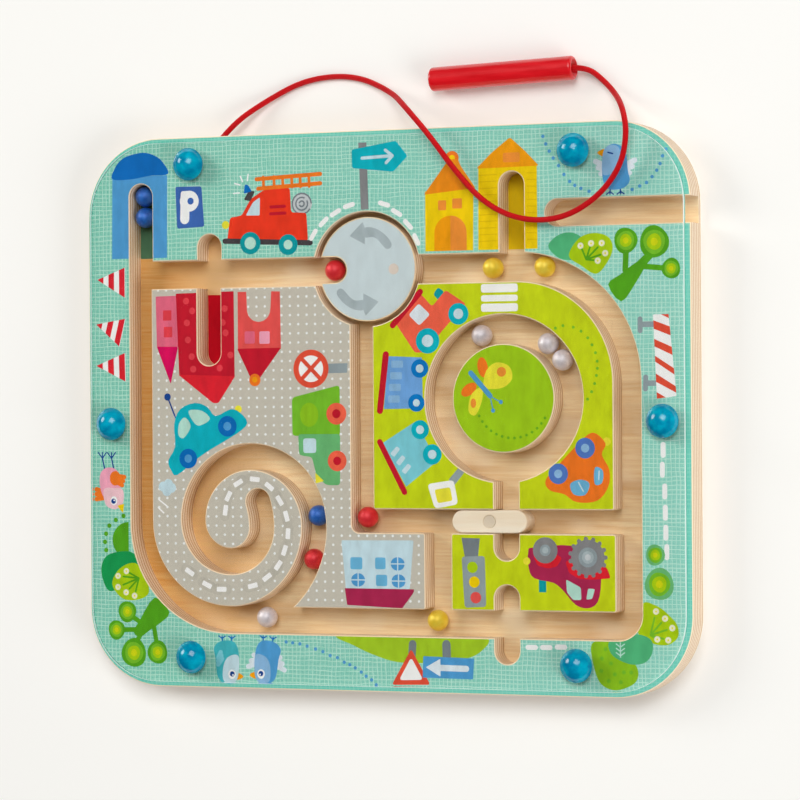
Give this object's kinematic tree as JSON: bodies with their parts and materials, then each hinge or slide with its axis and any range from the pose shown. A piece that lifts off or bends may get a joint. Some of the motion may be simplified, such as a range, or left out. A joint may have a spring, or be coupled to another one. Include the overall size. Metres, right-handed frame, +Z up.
{
  "type": "magnetic wand ball maze",
  "caption": "Flat wooden tray of routed channels with coloured steel balls, a turntable and a slider under a clear cover, moved by a magnetic pen on a cord.",
  "frame": {"origin": "centre of the tray's flat back", "axes": "+X to the player's right along the tray's length, +Y towards the edge that the cord leaves, +Z up out of the clear cover"},
  "size_m": [0.31, 0.2987, 0.0249],
  "materials": {
    "plywood": "sanded, clear matt lacquer",
    "maple": "sanded, clear matt lacquer",
    "print_teal": "satin print with a woven pattern",
    "print_grey": "satin print with pale dots",
    "print_lime": "satin print",
    "print_green": "satin print",
    "print_white": "satin print",
    "clear_acrylic": "polished clear sheet",
    "cap_teal": "translucent, polished",
    "zinc_steel": "zinc plated",
    "ball_blue": "pearl gloss",
    "ball_red": "pearl gloss",
    "ball_yellow": "pearl gloss",
    "ball_silver": "pearl gloss",
    "pen_red": "smooth, satin gloss",
    "magnet_nickel": "nickel plated",
    "cord_red": "fine braid"
  },
  "bodies": {
    "root": {"base_plate": "plywood", "clear_cover": "clear_acrylic", "cord": "cord_red", "cord_knot": "cord_red", "cover_screws": "zinc_steel", "farm_island": "plywood", "farm_print": "print_lime", "frame_print": "print_teal", "maze_frame": "plywood", "meadow_island": "plywood", "meadow_print": "print_lime", "roundabout_island": "plywood", "roundabout_print": "print_green", "screw_cap_back_left": "cap_teal", "screw_cap_back_right": "cap_teal", "screw_cap_front_left": "cap_teal", "screw_cap_front_right": "cap_teal", "screw_cap_left": "cap_teal", "screw_cap_right": "cap_teal", "town_island": "plywood", "town_print": "print_grey", "turntable_pin": "zinc_steel"},
    "turntable": {"turntable_disc": "plywood", "turntable_slug": "zinc_steel", "turntable_print": "print_white", "ball_red_turntable": "ball_red"},
    "slider": {"slider_bar": "maple", "slider_slug": "zinc_steel"},
    "pen": {"pen_body": "pen_red", "pen_magnet": "magnet_nickel", "pen_tip_plug": "pen_red"},
    "ball_blue_parked_inner": {"ball_blue_parked_inner": "ball_blue"},
    "ball_blue_parked_outer": {"ball_blue_parked_outer": "ball_blue"},
    "ball_blue_spiral": {"ball_blue_spiral": "ball_blue"},
    "ball_red_corner": {"ball_red_corner": "ball_red"},
    "ball_red_spiral": {"ball_red_spiral": "ball_red"},
    "ball_silver_ring_left": {"ball_silver_ring_left": "ball_silver"},
    "ball_silver_ring_right": {"ball_silver_ring_right": "ball_silver"},
    "ball_silver_ring_top": {"ball_silver_ring_top": "ball_silver"},
    "ball_silver_south": {"ball_silver_south": "ball_silver"},
    "ball_yellow_bend": {"ball_yellow_bend": "ball_yellow"},
    "ball_yellow_north": {"ball_yellow_north": "ball_yellow"},
    "ball_yellow_south": {"ball_yellow_south": "ball_yellow"}
  },
  "joints": [
    {"name": "turntable_spin", "type": "hinge", "parent": "root", "child": "turntable", "pos_m": [-0.0063, 0.0674, 0.0087], "axis": [0, 0, 1], "continuous": true},
    {"name": "slider_slide", "type": "slide", "parent": "root", "child": "slider", "axis": [1, 0, 0], "range_m": [-0.0398, 0.0562]},
    {"name": "pen_swing", "type": "hinge", "parent": "root", "child": "pen", "pos_m": [0.0924, 0.15949, 0.0057], "axis": [0, 0, 1], "range_deg": [-20, 8]},
    {"name": "blue_parked_outer_roll", "type": "slide", "parent": "root", "child": "ball_blue_parked_outer", "axis": [0, -1, 0], "range_m": [0, 0.145]},
    {"name": "blue_parked_inner_roll", "type": "slide", "parent": "root", "child": "ball_blue_parked_inner", "axis": [0, -1, 0], "range_m": [0, 0.145]},
    {"name": "blue_spiral_roll", "type": "hinge", "parent": "root", "child": "ball_blue_spiral", "pos_m": [-0.0678, -0.05525, 0.0082], "axis": [0, 0, 1], "range_deg": [0, 80]},
    {"name": "red_spiral_roll", "type": "hinge", "parent": "root", "child": "ball_red_spiral", "pos_m": [-0.0795, -0.05525, 0.0082], "axis": [0, 0, 1], "range_deg": [-33, 5]},
    {"name": "red_corner_roll", "type": "slide", "parent": "root", "child": "ball_red_corner", "axis": [0, 1, 0], "range_m": [0, 0.087]},
    {"name": "yellow_north_roll", "type": "slide", "parent": "root", "child": "ball_yellow_north", "axis": [-1, 0, 0], "range_m": [0, 0.031]},
    {"name": "yellow_bend_roll", "type": "hinge", "parent": "root", "child": "ball_yellow_bend", "pos_m": [0.0697, 0.0125, 0.0082], "axis": [0, 0, 1], "range_deg": [-77, 0]},
    {"name": "yellow_south_roll", "type": "slide", "parent": "root", "child": "ball_yellow_south", "axis": [1, 0, 0], "range_m": [0, 0.096]},
    {"name": "silver_south_roll", "type": "slide", "parent": "root", "child": "ball_silver_south", "axis": [1, 0, 0], "range_m": [0, 0.078]},
    {"name": "silver_ring_left_roll", "type": "hinge", "parent": "root", "child": "ball_silver_ring_left", "pos_m": [0.063, 0.0054, 0.0082], "axis": [0, 0, 1], "range_deg": [0, 140]},
    {"name": "silver_ring_top_roll", "type": "hinge", "parent": "root", "child": "ball_silver_ring_top", "pos_m": [0.063, 0.0054, 0.0082], "axis": [0, 0, 1], "range_deg": [0, 43]},
    {"name": "silver_ring_right_roll", "type": "hinge", "parent": "root", "child": "ball_silver_ring_right", "pos_m": [0.063, 0.0054, 0.0082], "axis": [0, 0, 1], "range_deg": [-110, 0]}
  ],
  "couplings": [
    {"joint": "blue_parked_inner_roll", "follows": "blue_parked_outer_roll", "ratio": 1}
  ]
}
